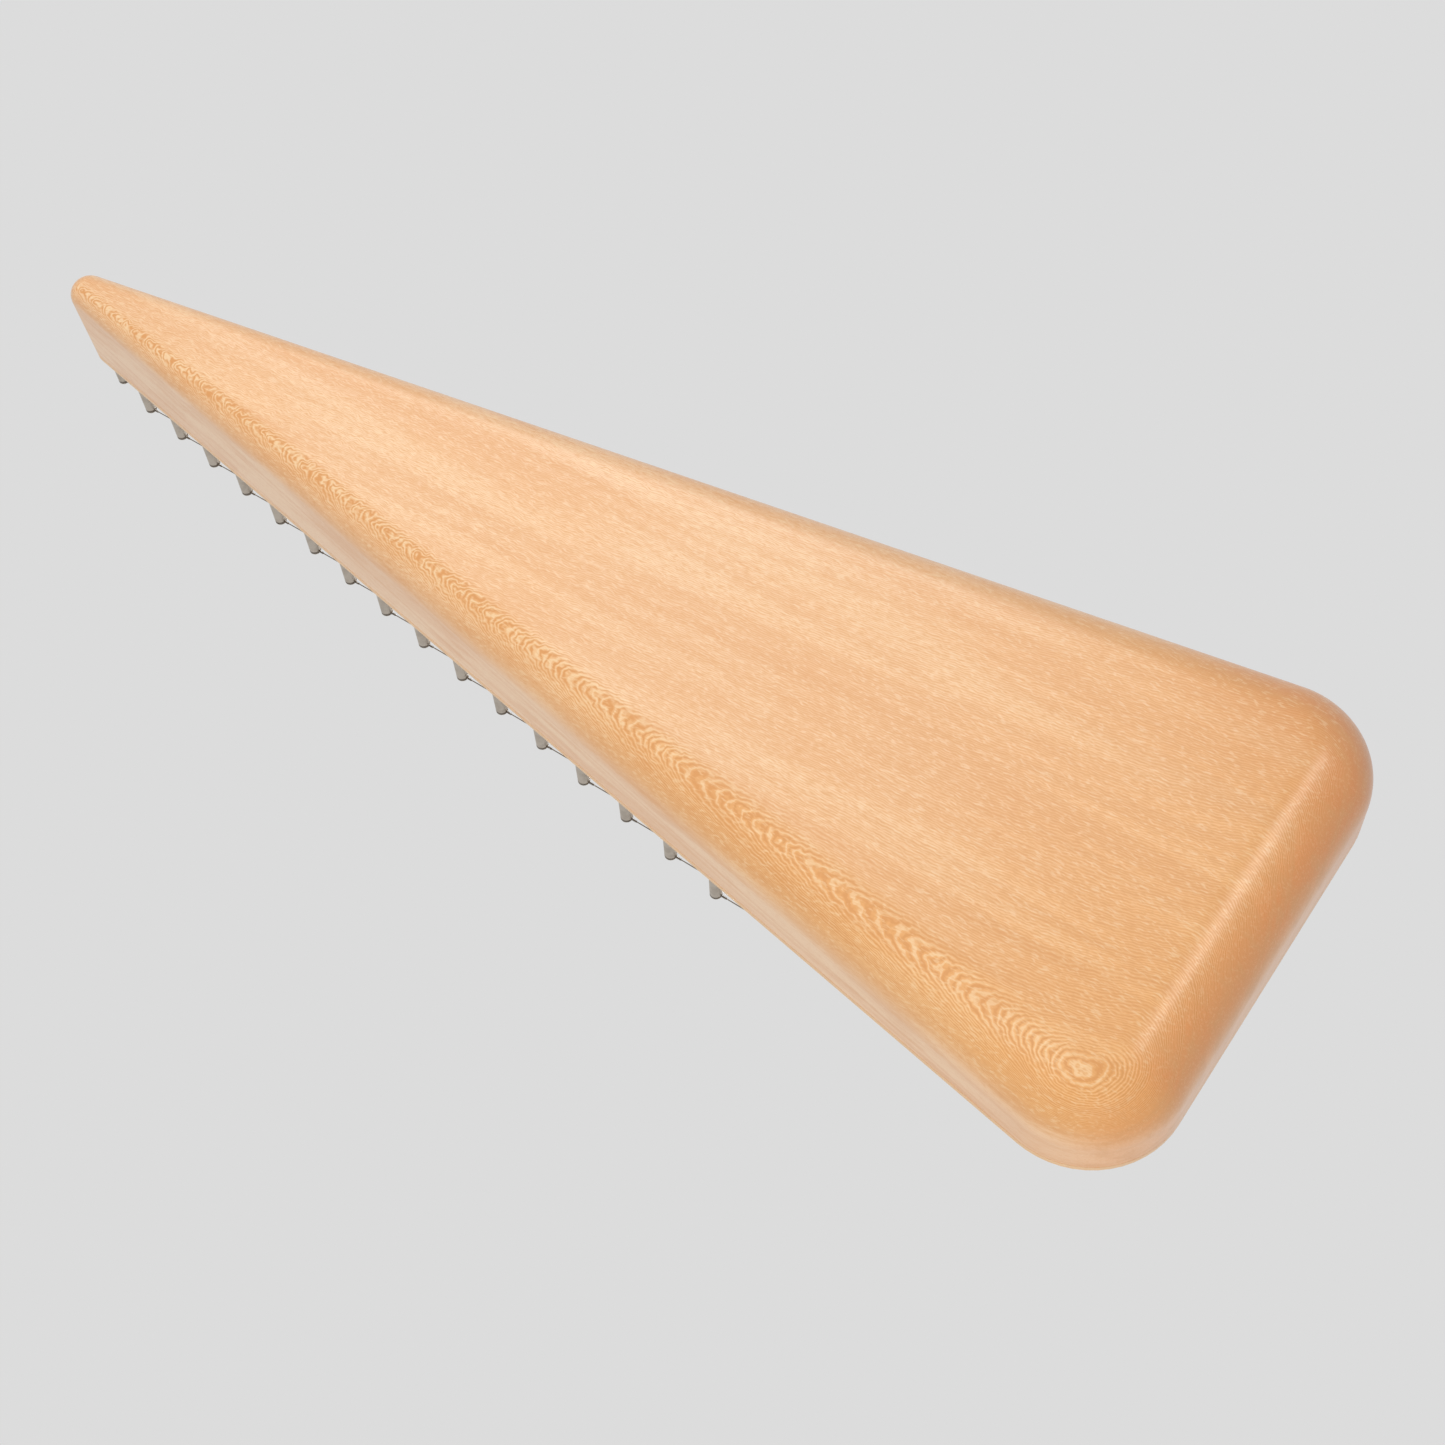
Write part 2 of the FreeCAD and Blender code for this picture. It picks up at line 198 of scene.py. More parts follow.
class Finish:
    """One material: makes its nodes and joins them to a Principled shader."""

    def __init__(self, name):
        self.material = bpy.data.materials.new(name)
        self.material.use_nodes = True
        self.tree = self.material.node_tree
        self.tree.nodes.clear()
        self.shader = self.tree.nodes.new("ShaderNodeBsdfPrincipled")
        out = self.tree.nodes.new("ShaderNodeOutputMaterial")
        self.tree.links.new(self.shader.outputs["BSDF"], out.inputs["Surface"])

    def feed(self, socket, value):
        if isinstance(value, Signal):
            self.tree.links.new(value.socket, socket)
        else:
            socket.default_value = value

    def node(self, kind, settings=None, sockets=None, output=0):
        made = self.tree.nodes.new(kind)
        for key, value in (settings or {}).items():
            setattr(made, key, value)
        for key, value in (sockets or {}).items():
            self.feed(made.inputs[key], value)
        return Signal(self, made.outputs[output])

    def maths(self, operation, first, second=0.0):
        return self.node("ShaderNodeMath", {"operation": operation}, {0: first, 1: second})

    def place(self):
        """Where a point of the surface is, in millimetres of the instrument's own frame."""
        object_place = self.node("ShaderNodeTexCoord", output="Object")
        return self.scaled(object_place, (1000.0, 1000.0, 1000.0))

    def scaled(self, vector, factors):
        return self.node("ShaderNodeVectorMath", {"operation": "MULTIPLY"}, {0: vector, 1: factors})

    def shifted(self, vector, offset):
        return self.node("ShaderNodeVectorMath", {"operation": "ADD"}, {0: vector, 1: offset})

    def dot(self, vector, other):
        settings = {"operation": "DOT_PRODUCT"}
        return self.node("ShaderNodeVectorMath", settings, {0: vector, 1: other}, output="Value")

    def length(self, vector):
        return self.node("ShaderNodeVectorMath", {"operation": "LENGTH"}, {0: vector}, output="Value")

    def split(self, vector):
        return [self.node("ShaderNodeSeparateXYZ", None, {0: vector}, output=axis) for axis in "XYZ"]

    def noise(self, vector, scale, detail=2.0, roughness=0.5, output="Fac"):
        sockets = {"Vector": vector, "Scale": scale, "Detail": detail, "Roughness": roughness}
        return self.node("ShaderNodeTexNoise", None, sockets, output)

    def layering(self, depth, scale, detail=1.0):
        """Random bands that depend on depth alone, so they run as contour lines."""
        settings = {"noise_dimensions": "1D"}
        return self.node("ShaderNodeTexNoise", settings, {"W": depth, "Scale": scale, "Detail": detail})

    def between(self, value, low, high):
        """0 below low, 1 above high, and an even curve from one to the other."""
        settings = {"interpolation_type": "SMOOTHSTEP", "clamp": True}
        return self.node("ShaderNodeMapRange", settings, {"Value": value, "From Min": low, "From Max": high})

    def blend(self, share, first, second):
        settings = {"data_type": "RGBA", "blend_type": "MIX", "clamp_factor": True}
        return self.node("ShaderNodeMix", settings, {0: share, 6: first, 7: second}, output=2)

    def relief(self, height, depth, strength):
        sockets = {"Height": height, "Distance": depth, "Strength": strength}
        return self.node("ShaderNodeBump", None, sockets)

    def wear(self, **sockets):
        """Sets the shader's sockets; Base_Color stands for Base Color."""
        for name, value in sockets.items():
            self.feed(self.shader.inputs[name.replace("_", " ")], value)
        return self.material


def layer_figure(f, place, x, y, toward_tip):
    """Growth lines as a wave down through gently bent layers, and the wider bands they form."""
    ripple = f.noise(place, 0.21, 1.0, 0.5) - 0.5
    fine_ripple = f.noise(place, 0.38, 1.0, 0.5) - 0.5
    sway = f.noise(f.scaled(place, (1.0, 0.3, 1.0)), 0.03, 1.0) - 0.5
    near_base = f.maths("MAXIMUM", -1 * y - BASE_BEND_START, 0.0)
    depth = f.dot(place, LAYER_ACROSS) + near_base * near_base * BASE_BEND
    depth = depth + x * f.between(y, -240.0, -60.0) * LAYER_TWIST
    depth = depth + ripple * (0.40 + 0.85 * toward_tip) + fine_ripple * 0.28 + sway * 2.0
    wander = (f.layering(depth, 0.55, 1.0) - 0.5) * 9.0
    line = f.maths("SINE", depth * (2 * math.pi / LAYER_PITCH) + wander + math.pi)
    return line, f.layering(depth, 0.30, 1.5)


def fleck_figure(f, place):
    """Short flecks, hair lines and streaks that run along the board."""
    drift = f.scaled(f.noise(place, 0.035, 2.0, output="Color"), (5.0, 5.0, 5.0))
    waver = f.scaled(f.noise(place, 0.22, 1.0, output="Color"), (1.3, 1.5, 1.3))
    along = f.scaled(f.shifted(f.shifted(place, drift), waver), (1.0, 0.2, 1.0))
    fleck = f.noise(along, 1.25, 1.5, 0.6)
    hair = f.noise(f.scaled(along, (1.0, 0.35, 1.0)), 2.6, 1.0, 0.5)
    streak = f.noise(f.scaled(along, (1.0, 0.12, 1.0)), 0.15, 2.0, 0.5)
    return fleck, hair, streak


def lacewood_finish():
    """Clear-lacquered plane wood: wavy growth lines that turn to lace on the rounded edge. Painted sheen makes the
    side walls, the -X edge of the flat and the lower +X roll paler; painted shade deepens the +X roll near the
    base and the far base corner.
    """
    f = Finish("lacewood_clear_lacquer")
    place = f.place()
    x, y = f.split(place)[:2]
    toward_tip = f.between(y, -150.0, 120.0)
    normal = f.node("ShaderNodeTexCoord", output="Normal")
    turned = 1 - f.dot(normal, (0.0, 0.0, -1.0))
    edge = f.between(turned, 0.004, 0.05)
    wall = f.between(turned, 0.45, 0.9)
    end_grain = f.between(f.dot(normal, (0.0, -1.0, 0.0)), 0.12, 0.75)
    rolled = edge * (1 - wall) * f.between(f.dot(normal, (1.0, 0.0, 0.0)), 0.02, 0.30)
    # painted sheen: the lower part of the +X roll towards the tip is made paler, carrying the walls' painted
    # reflection onto it
    lower_roll_sheen = rolled * f.between(turned, 0.10, 0.40) * toward_tip
    # far_corner marks the -X base corner, which painted shade darkens
    far_corner = f.between(-1 * y, 190.0, 290.0) * f.between(-1 * x, 20.0, 95.0)
    from_middle = SIDE_SLOPE * y - x
    # painted sheen: the flat grows paler towards the -X edge, away from the base, standing in for the pale
    # reflection there; not sapwood
    far_edge_sheen = f.between(from_middle, 22.0, 50.0) * (1 - f.between(-1 * y, 130.0, 240.0))

    line, bands = layer_figure(f, place, x, y, toward_tip)
    fleck, hair, streak = fleck_figure(f, place)
    board_tone = f.noise(f.scaled(place, (1.0, 0.07, 1.0)), 0.045, 2.0, 0.55)
    cloud = f.noise(place, 0.012, 1.0)

    tangent = f.between(f.dot(normal, LAYER_ACROSS), 0.958, 0.994)
    lace = tangent * (0.45 + 0.55 * toward_tip)
    flat_share = 0.36 + 0.26 * f.between(fleck, 0.38, 0.62) + 0.26 * edge
    dark_share = (flat_share + 0.46 * lace) * (1 - 0.75 * wall)
    pale_share = (0.22 + 0.14 * edge + 0.34 * lace) * (1 - 0.85 * wall)
    plain = 1 - f.maths("MAXIMUM", 0.7 * wall, 0.6 * end_grain)

    colour = f.blend(f.between(cloud, 0.35, 0.65), LACEWOOD_GOLD, LACEWOOD_HONEY)
    tones = (
        (f.between(-1 * y, 90.0, 290.0) * 0.9, LACEWOOD_WARM),
        # painted shade: the far base corner is darkened
        (far_corner * 0.95, PAINTED_CORNER_SHADE),
        (end_grain * (0.96 - 0.66 * wall), LACEWOOD_END),
        # painted shade: the +X-facing roll near the base is deepened to amber in place of weaker sheen
        (rolled * (0.55 - 0.55 * toward_tip), PAINTED_ROLL_SHADE),
        # painted shade: the roll at the far base corner is darkened further
        (far_corner * edge * (1 - 0.5 * wall) * 0.7, PAINTED_CORNER_ROLL_SHADE),
        # painted sheen: the side walls are made paler, as if the lacquer mirrored pale light there
        (wall * (0.62 - 0.36 * end_grain), PAINTED_WALL_SHEEN),
        # painted sheen along the -X edge of the flat
        (far_edge_sheen * 0.55, PAINTED_FAR_EDGE_SHEEN),
        # painted sheen on the lower +X roll
        (lower_roll_sheen * 0.6, PAINTED_ROLL_SHEEN),
        (f.between(board_tone, 0.44, 0.60) * 0.32, LACEWOOD_DEEP),
        (f.between(0.5 - board_tone, 0.0, 0.10) * 0.16 * (1 - end_grain), LACEWOOD_PALE),
        (f.between(streak, 0.47, 0.68) * 0.40, LACEWOOD_DEEP),
        (f.between(bands, 0.48, 0.66) * 0.30, LACEWOOD_DEEP),
        (f.between(line, 0.05, 0.95) * dark_share, LACEWOOD_DEEP),
        (f.between(-1 * line, 0.25, 0.95) * pale_share, LACEWOOD_PALE),
        (f.between(fleck, 0.54, 0.70) * 0.44 * plain, LACEWOOD_DEEP),
        (f.between(0.5 - fleck, 0.03, 0.18) * 0.40 * plain, LACEWOOD_PALE),
        (f.between(hair, 0.5, 0.75) * 0.25, LACEWOOD_DEEP),
    )
    for share, tone in tones:
        colour = f.blend(share, colour, tone)
    rough = 0.42 + 0.10 * (fleck - 0.5)
    return f.wear(Base_Color=colour, Roughness=rough, Coat_Weight=0.6, Coat_Roughness=0.22)


def spruce_finish():
    """Straight, fine-grained spruce under lacquer, with rings let in round the soundhole."""
    f = Finish("spruce_board_lacquer")
    place = f.place()
    drift = f.noise(f.scaled(place, (1.0, 0.12, 1.0)), 0.03, 2.0) - 0.5
    across = f.split(place)[0] + drift * 6.0
    year = f.layering(across, 0.62, 2.0)
    fine = f.noise(f.scaled(place, (1.0, 0.02, 1.0)), 3.2, 2.0)
    silk = f.noise(f.scaled(place, (0.35, 1.0, 1.0)), 0.22, 2.0)
    colour = f.blend(f.between(year, 0.48, 0.66) * 0.55, SPRUCE_EARLY, SPRUCE_LATE)
    colour = f.blend(f.between(fine, 0.5, 0.8) * 0.35, colour, SPRUCE_LATE)
    colour = f.blend(f.between(silk, 0.45, 0.75) * 0.25, colour, SPRUCE_SILK)
    hole = (ROSE_LOW + ROSE_HIGH) / 2 / MM
    ring = f.length(f.shifted(f.scaled(place, (1.0, 1.0, 0.0)), (-hole.x, -hole.y, 0.0)))
    for middle, half, tint in RING_INLAYS:
        band = f.between(half - f.maths("ABSOLUTE", ring - middle), -0.06, 0.06)
        colour = f.blend(band, colour, tint)
    upright = f.dot(f.node("ShaderNodeTexCoord", output="Normal"), (0.0, 0.0, 1.0))
    colour = f.blend(f.between(1 - upright, 0.4, 1.0) * 0.85, colour, SPRUCE_EDGE)
    rough = 0.38 + 0.1 * (fine - 0.5)
    return f.wear(Base_Color=colour, Roughness=rough, Coat_Weight=0.4, Coat_Roughness=0.16)


def dimmed(colour, share):
    return tuple(part * share for part in colour[:3]) + (1,)


def dark_wood_finish(name, along, dark, light, gloss):
    """Open-pored dark hardwood; along gives the stretch of the grain on each axis."""
    f = Finish(name)
    place = f.place()
    wander = f.scaled(f.noise(place, 0.08, 2.0, output="Color"), (3.0, 3.0, 3.0))
    grain_place = f.scaled(f.shifted(place, wander), along)
    figure = f.noise(grain_place, 0.55, 3.0, 0.6)
    pores = f.noise(grain_place, 3.4, 2.0, 0.6)
    pore = f.between(pores, 0.58, 0.72)
    colour = f.blend(f.between(figure, 0.3, 0.7), dark, light)
    colour = f.blend(pore * 0.8, colour, dimmed(dark, 0.3))
    bump = f.relief(1 - pore, PORE_DEPTH, 0.35)
    return f.wear(Base_Color=colour, Roughness=gloss + 0.25 * pore, Normal=bump)


def raw_wood_finish(name, light, dark):
    f = Finish(name)
    grain = f.noise(f.scaled(f.place(), (1.0, 0.06, 1.0)), 1.1, 3.0, 0.6)
    return f.wear(Base_Color=f.blend(f.between(grain, 0.35, 0.7), light, dark), Roughness=0.7)


def metal_finish(name, tint, gloss, turned=2.5, depth=TOOL_MARK):
    """Turned or drawn metal: fine rings, and faint cloudy wear in the shine."""
    f = Finish(name)
    place = f.place()
    rings = f.noise(f.scaled(place, (0.05, 0.05, 1.0)), turned, 2.0)
    handling = f.noise(place, 0.25, 2.0)
    bump = f.relief(rings, depth, 0.3)
    shade = f.blend(f.between(handling, 0.35, 0.7) * 0.35, tint, dimmed(tint, 0.78))
    rough = gloss + 0.14 * f.between(handling, 0.4, 0.7) + 0.06 * (rings - 0.5)
    return f.wear(Base_Color=shade, Metallic=1.0, Roughness=rough, Normal=bump)


def floor_finish():
    """Pale matt paper, seen only from above, that melts into the air around it."""
    f = Finish("studio_paper")
    place = f.place()
    mottled = f.noise(place, 0.006, 2.0)
    colour = f.blend(mottled * 0.2, (0.78, 0.78, 0.78, 1), (0.74, 0.74, 0.74, 1))
    f.wear(Base_Color=colour, Roughness=0.9)
    under = f.node("ShaderNodeNewGeometry", output="Backfacing")
    far = f.between(f.length(place), PAPER_CLEAR, PAPER_GONE)
    clear = f.node("ShaderNodeBsdfTransparent")
    paper = Signal(f, f.shader.outputs["BSDF"])
    unseen = f.maths("MAXIMUM", under, far)
    mixed = f.node("ShaderNodeMixShader", None, {0: unseen, 1: paper, 2: clear})
    out = next(n for n in f.tree.nodes if n.type == "OUTPUT_MATERIAL")
    f.tree.links.new(mixed.socket, out.inputs["Surface"])
    return f.material


def dress(node, material):
    """Gives a CAD node its finish."""
    shape = NODES[node]
    if not shape.material_slots:
        shape.data.materials.append(material)
    for place in shape.material_slots:
        place.link = "OBJECT"
        place.material = material


def new_piece(name, mesh, material, body):
    piece = bpy.data.objects.new(name, mesh)
    bpy.context.scene.collection.objects.link(piece)
    mesh.materials.append(material)
    for face in mesh.polygons:
        face.use_smooth = True
    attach(piece, body)
    return piece


def side_direction(tip, corner):
    """Outward normal of the +X side line that touches the tip arc and the corner arc."""
    run = corner[0] - tip[0]
    span = run.length
    along = (tip[1] - corner[1]) / span
    across = math.sqrt(1 - along * along)
    unit = run / span
    return Vector((along * unit.x - across * unit.y, along * unit.y + across * unit.x))


def outline(side_inset, base_inset, tip_radius, corner_radius):
    """Points once round a rounded triangle, each with its outward normal and its
    share of the way from the tip (0) to the base (1)."""
    outer_tip = Vector((0, SHELL_LOW.y + BODY_LENGTH - TIP_RADIUS))
    outer_corner = Vector((SHELL_HIGH.x - CORNER_RADIUS, SHELL_LOW.y + CORNER_RADIUS))
    side = side_direction((outer_tip, TIP_RADIUS), (outer_corner, CORNER_RADIUS))
    reach = side.y * outer_tip.y + TIP_RADIUS - side_inset
    tip = Vector((0, (reach - tip_radius) / side.y))
    corner_y = SHELL_LOW.y + base_inset + corner_radius
    corner = Vector(((reach - corner_radius - side.y * corner_y) / side.x, corner_y))
    lean = math.atan2(side.y, side.x)
    half = []
    for step in range(TIP_STEPS):
        angle = math.pi / 2 + (lean - math.pi / 2) * step / TIP_STEPS
        normal = Vector((math.cos(angle), math.sin(angle)))
        half.append((tip + normal * tip_radius, normal, 0.0))
    start = tip + side * tip_radius
    end = corner + side * corner_radius
    for step in range(SIDE_STEPS):
        share = step / SIDE_STEPS
        half.append((start.lerp(end, share), side, share))
    for step in range(CORNER_STEPS):
        angle = lean + (-math.pi / 2 - lean) * step / CORNER_STEPS
        normal = Vector((math.cos(angle), math.sin(angle)))
        half.append((corner + normal * corner_radius, normal, 1.0))
    down = Vector((0, -1))
    for step in range(BASE_STEPS):
        share = step / BASE_STEPS
        point = Vector((corner.x * (1 - share), corner.y - corner_radius))
        half.append((point, down, 1.0))
    middle = (Vector((0, corner.y - corner_radius)), down, 1.0)
    mirror = []
    for point, normal, share in half[:0:-1]:
        mirror.append((Vector((-point.x, point.y)), Vector((-normal.x, normal.y)), share))
    return half + [middle] + mirror


def carved_body(material):
    """The carved shell: flat back, rolled edge, side walls, bevelled rim and hollow."""
    shape = bmesh.new()
    outer = outline(0.0, 0.0, TIP_RADIUS, CORNER_RADIUS)
    inner = outline(HOLLOW_SIDE, HOLLOW_BASE, HOLLOW_TIP_RADIUS, HOLLOW_CORNER_RADIUS)
    rim = SHELL_HIGH.z

    def loop(stations, inset, height):
        made = []
        for station in stations:
            point, normal, share = station
            place = point - normal * inset(share)
            made.append(shape.verts.new((place.x, place.y, height(share))))
        return made

    def roll(share):
        return BACK_ROUND_TIP + (BACK_ROUND_BASE - BACK_ROUND_TIP) * share

    loops = [loop(outer, lambda share: roll(share) + SEAM_LOOP, lambda share: 0.0)]
    for step in range(ROUND_STEPS + 1):
        turn = math.pi / 2 * step / ROUND_STEPS
        sine = math.sin(turn)
        cosine = math.cos(turn)
        loops.append(loop(
            outer, lambda share: roll(share) * (1 - sine), lambda share: roll(share) * (1 - cosine)
        ))
    loops.append(loop(outer, lambda share: 0.0, lambda share: roll(share) + SEAM_LOOP))
    loops.append(loop(outer, lambda share: 0.0, lambda share: rim - RIM_BEVEL - SEAM_LOOP))
    bevel_low = loop(outer, lambda share: 0.0, lambda share: rim - RIM_BEVEL)
    bevel_high = loop(outer, lambda share: RIM_BEVEL, lambda share: rim)
    mouth = loop(inner, lambda share: 0.0, lambda share: rim)
    loops += [bevel_low, bevel_high, mouth]
    floor_top = HOLLOW_FLOOR + HOLLOW_FLOOR_ROUND
    for step in range(FLOOR_ROUND_STEPS + 1):
        turn = math.pi / 2 * step / FLOOR_ROUND_STEPS
        inset = HOLLOW_FLOOR_ROUND * (1 - math.cos(turn))
        height = floor_top - HOLLOW_FLOOR_ROUND * math.sin(turn)
        loops.append(loop(inner, lambda share: inset, lambda share: height))
    for near, far in zip(loops, loops[1:]):
        for step in range(len(near)):
            after = (step + 1) % len(near)
            shape.faces.new((near[step], near[after], far[after], far[step]))
    shape.faces.new(loops[0])
    shape.faces.new(loops[-1])
    crisp = set(bevel_low) | set(bevel_high) | set(mouth)
    for edge in shape.edges:
        if edge.verts[0] in crisp and edge.verts[1] in crisp:
            edge.smooth = False
    body = new_piece("carved_body", finished(shape, "carved_body"), material, "body")
    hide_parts("body_shell")
    return body


def tube(shape, points, radius):
    """Adds a round wire along these points to a bmesh, with closed ends."""
    forward = (points[1] - points[0]).normalized()
    side = forward.orthogonal().normalized()
    rings = []
    for index, point in enumerate(points):
        ahead = points[min(index + 1, len(points) - 1)] - points[max(index - 1, 0)]
        ahead.normalize()
        side = (side - ahead * side.dot(ahead)).normalized()
        up = ahead.cross(side)
        ring = []
        for step in range(TUBE_SIDES):
            turn = 2 * math.pi * step / TUBE_SIDES
            ring.append(shape.verts.new(point + radius * (side * math.cos(turn) + up * math.sin(turn))))
        rings.append(ring)
    for near, far in zip(rings, rings[1:]):
        for step in range(TUBE_SIDES):
            after = (step + 1) % TUBE_SIDES
            shape.faces.new((near[step], near[after], far[after], far[step]))
    shape.faces.new(rings[0][::-1])
    shape.faces.new(rings[-1])


def finished(shape, name):
    bmesh.ops.recalc_face_normals(shape, faces=shape.faces)
    mesh = bpy.data.meshes.new(name)
    shape.to_mesh(mesh)
    shape.free()
    return mesh


def loose_parts(node):
    """The separate solids of a CAD node, each as its list of points."""
    shape = bmesh.new()
    shape.from_mesh(NODES[node].data)
    bmesh.ops.remove_doubles(shape, verts=shape.verts, dist=SAME_POINT)
    parts = []
    seen = set()
    for start in shape.verts:
        if start in seen:
            continue
        seen.add(start)
        pile = [start]
        points = []
        while pile:
            vertex = pile.pop()
            points.append(vertex.co.copy())
            for edge in vertex.link_edges:
                other = edge.other_vert(vertex)
                if other not in seen:
                    seen.add(other)
                    pile.append(other)
        parts.append(points)
    shape.free()
    return parts


def loop_centre(points):
    """Middle of the ring at the tip end of one wire."""
    far = max(point.y for point in points)
    ring = [point for point in points if point.y > far - 2 * LOOP_RADIUS]
    low = Vector(min(point[axis] for point in ring) for axis in range(3))
    high = Vector(max(point[axis] for point in ring) for axis in range(3))
    return (low + high) / 2


def wire_twists(node, name, material):
    """The tail of each loop, wound round its own wire."""
    shape = bmesh.new()
    for points in loose_parts(node):
        centre = loop_centre(points)
        start = centre - Vector((0, LOOP_RADIUS + WIRE, 0))
        path = []
        steps = TWIST_TURNS * TWIST_STEPS_PER_TURN
        for step in range(steps + 1):
            share = step / steps
            turn = 2 * math.pi * TWIST_TURNS * share
            out = TWIST_RADIUS * (1 - TWIST_TAPER * share)
            offset = Vector((out * math.cos(turn), -TWIST_LENGTH * share, out * math.sin(turn)))
            path.append(start + offset)
        tube(shape, path, TWIST_WIRE)
    return new_piece(name, finished(shape, name), material, "body")


def pin_coil(joint, material):
    """Wire wound on one tuning pin: a level first turn, a helix, then into the eye."""
    body = joint["child"]
    node = frame["record"]["behaviour"]["bodies"][body][0]
    low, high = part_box(node)
    middle = (low + high) / 2
    axis = Vector((middle.x, middle.y, high.z - COIL_BELOW_HEAD))
    out = PIN_RADIUS + WIRE + COIL_GAP
    path = []

    def wind(turns, drop):
        turn = -2 * math.pi * turns
        path.append(axis + Vector((out * math.cos(turn), out * math.sin(turn), -drop)))

    for step in range(COIL_LEVEL_STEPS + 1):
        wind(step / COIL_LEVEL_STEPS, 0)
    steps = int(COIL_TURNS * COIL_STEPS_PER_TURN)
    for step in range(1, steps + 1):
        share = step / steps
        eased = share * share * (3 - 2 * share)
        wind(COIL_TURNS * share, EYE_BELOW_COIL * (0.56 * share + 0.44 * eased))
    tail = path[-1] - axis
    for share in TAIL_STEPS:
        path.append(axis + Vector((tail.x * share, tail.y * share, -EYE_BELOW_COIL)))
    shape = bmesh.new()
    tube(shape, path, WIRE)
    name = "wire_coil_" + body.split("_")[-1]
    return new_piece(name, finished(shape, name), material, body)


def build_floor():
    mesh = bpy.data.meshes.new("studio_floor")
    half = FLOOR_SIZE / 2
    low = SHELL_LOW.z - FLOOR_GAP
    corners = [(-half, -half, low), (half, -half, low), (half, half, low), (-half, half, low)]
    mesh.from_pydata(corners, [], [(0, 1, 2, 3)])
    floor = bpy.data.objects.new("studio_floor", mesh)
    bpy.context.scene.collection.objects.link(floor)
    mesh.materials.append(floor_finish())
    floor.visible_diffuse = False
    floor.visible_glossy = False
    floor.visible_transmission = False
    floor.visible_shadow = False


def aim(item, target, roll=0.0):
    """Turns a camera or light to look at a point, rolled about its line of sight."""
    sight = (Vector(target) - item.location).normalized()
    turn = sight.to_track_quat("-Z", "Y").to_matrix()
    level = Matrix.Rotation(roll, 3, "Z")
    item.rotation_euler = (turn @ level).to_euler()


def soft_light(name, place, size, power, tint, use):
    """A square of light; use says whether it lights, is mirrored in the lacquer, or both."""
    data = bpy.data.lights.new(name, "AREA")
    data.shape = "RECTANGLE"
    data.size, data.size_y = size
    data.energy = power
    data.color = tint
    lamp = bpy.data.objects.new(name, data)
    bpy.context.scene.collection.objects.link(lamp)
    lamp.location = place
    aim(lamp, LIGHT_AIM)
    lamp.visible_diffuse = use != "mirror"
    lamp.visible_glossy = use != "light"


def build_air():
    """Even grey behind the instrument, and dimmer light from all round on it."""
    world = bpy.data.worlds.new("studio_air")
    bpy.context.scene.world = world
    world.use_nodes = True
    tree = world.node_tree
    tree.nodes.clear()
    seen = tree.nodes.new("ShaderNodeLightPath")
    backdrop = tree.nodes.new("ShaderNodeBackground")
    backdrop.inputs["Color"].default_value = (STUDIO_GREY, STUDIO_GREY, STUDIO_GREY, 1)
    ambient = tree.nodes.new("ShaderNodeBackground")
    ambient.inputs["Color"].default_value = (STUDIO_AMBIENT, STUDIO_AMBIENT, STUDIO_AMBIENT, 1)
    mixed = tree.nodes.new("ShaderNodeMixShader")
    out = tree.nodes.new("ShaderNodeOutputWorld")
    mirrored = tree.nodes.new("ShaderNodeMath")
    mirrored.operation = "MAXIMUM"
    tree.links.new(seen.outputs["Is Camera Ray"], mirrored.inputs[0])
    tree.links.new(seen.outputs["Is Glossy Ray"], mirrored.inputs[1])
    tree.links.new(mirrored.outputs[0], mixed.inputs[0])
    tree.links.new(ambient.outputs[0], mixed.inputs[1])
    tree.links.new(backdrop.outputs[0], mixed.inputs[2])
    tree.links.new(mixed.outputs[0], out.inputs["Surface"])


def build_studio():
    build_air()
    for light in LIGHTS:
        soft_light(*light)
    view = bpy.context.scene.view_settings
    view.view_transform = "Standard"
    view.look = "None"
    view.exposure = 0.0
    view.gamma = 1.0


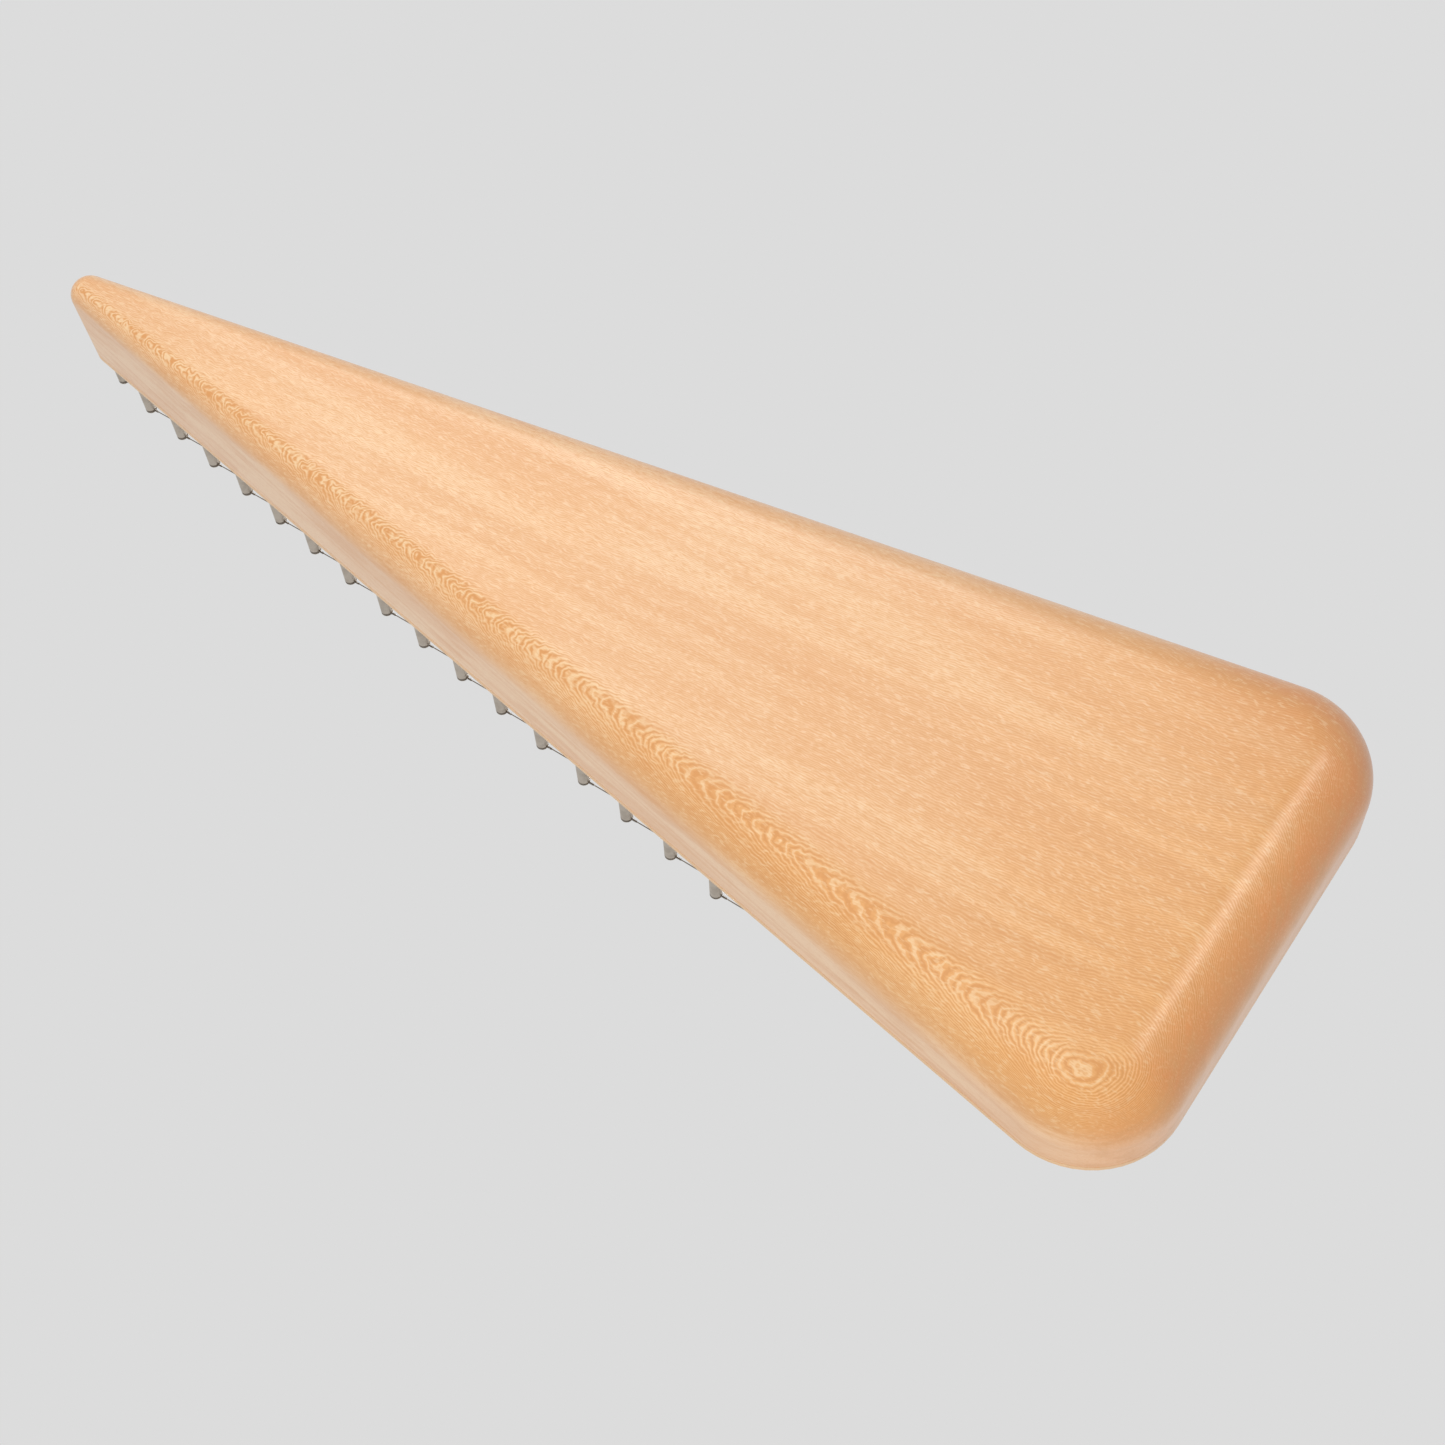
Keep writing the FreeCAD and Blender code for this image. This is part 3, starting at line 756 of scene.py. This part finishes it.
def build_camera():
    data = bpy.data.cameras.new("studio_camera")
    data.lens = CAMERA_LENS
    data.sensor_width = 36.0
    data.clip_start = 0.01
    data.clip_end = 50.0
    camera = bpy.data.objects.new("studio_camera", data)
    bpy.context.scene.collection.objects.link(camera)
    camera.location = CAMERA_STAND
    aim(camera, CAMERA_AIM, CAMERA_ROLL)
    bpy.context.scene.camera = camera


def dress_everything():
    lacewood = lacewood_finish()
    nickel = metal_finish("hitch_pin_nickel", (0.58, 0.52, 0.45, 1), 0.52)
    steel = metal_finish("music_wire", (0.27, 0.24, 0.21, 1), 0.32, 6.0)
    carved_body(lacewood)
    dress("soundboard", spruce_finish())
    dress("pin_block", raw_wood_finish("beech_laminate", (0.62, 0.42, 0.26, 1), (0.48, 0.29, 0.16, 1)))
    brace_wood = raw_wood_finish("brace_spruce", (0.80, 0.62, 0.40, 1), (0.62, 0.42, 0.22, 1))
    for node in ("brace_lower", "brace_middle", "brace_upper"):
        dress(node, brace_wood)
    walnut = dark_wood_finish(
        "walnut_oiled", (1.0, 0.12, 1.0), (0.085, 0.038, 0.017, 1), (0.19, 0.09, 0.042, 1), 0.42
    )
    rosewood = dark_wood_finish(
        "rosewood_oiled", (0.08, 1.0, 1.0), (0.050, 0.017, 0.010, 1), (0.16, 0.055, 0.028, 1), 0.34
    )
    dress("rosette", walnut)
    dress("bridge", rosewood)
    dress("bridge_saddle", metal_finish("saddle_rod", (0.62, 0.61, 0.59, 1), 0.16))
    dress("hitch_pins_right", nickel)
    dress("hitch_pins_left", nickel)
    dress("strings_right", steel)
    dress("strings_left", steel)
    pin_metal = metal_finish("tuning_pin_nickel", (0.56, 0.55, 0.53, 1), 0.24, 3.5, 1.5 * TOOL_MARK)
    wire_twists("strings_right", "loop_twists_right", steel)
    wire_twists("strings_left", "loop_twists_left", steel)
    for joint in frame["joints"]:
        node = frame["record"]["behaviour"]["bodies"][joint["child"]][0]
        dress(node, pin_metal)
        pin_coil(joint, steel)


dress_everything()
build_floor()
build_studio()
build_camera()
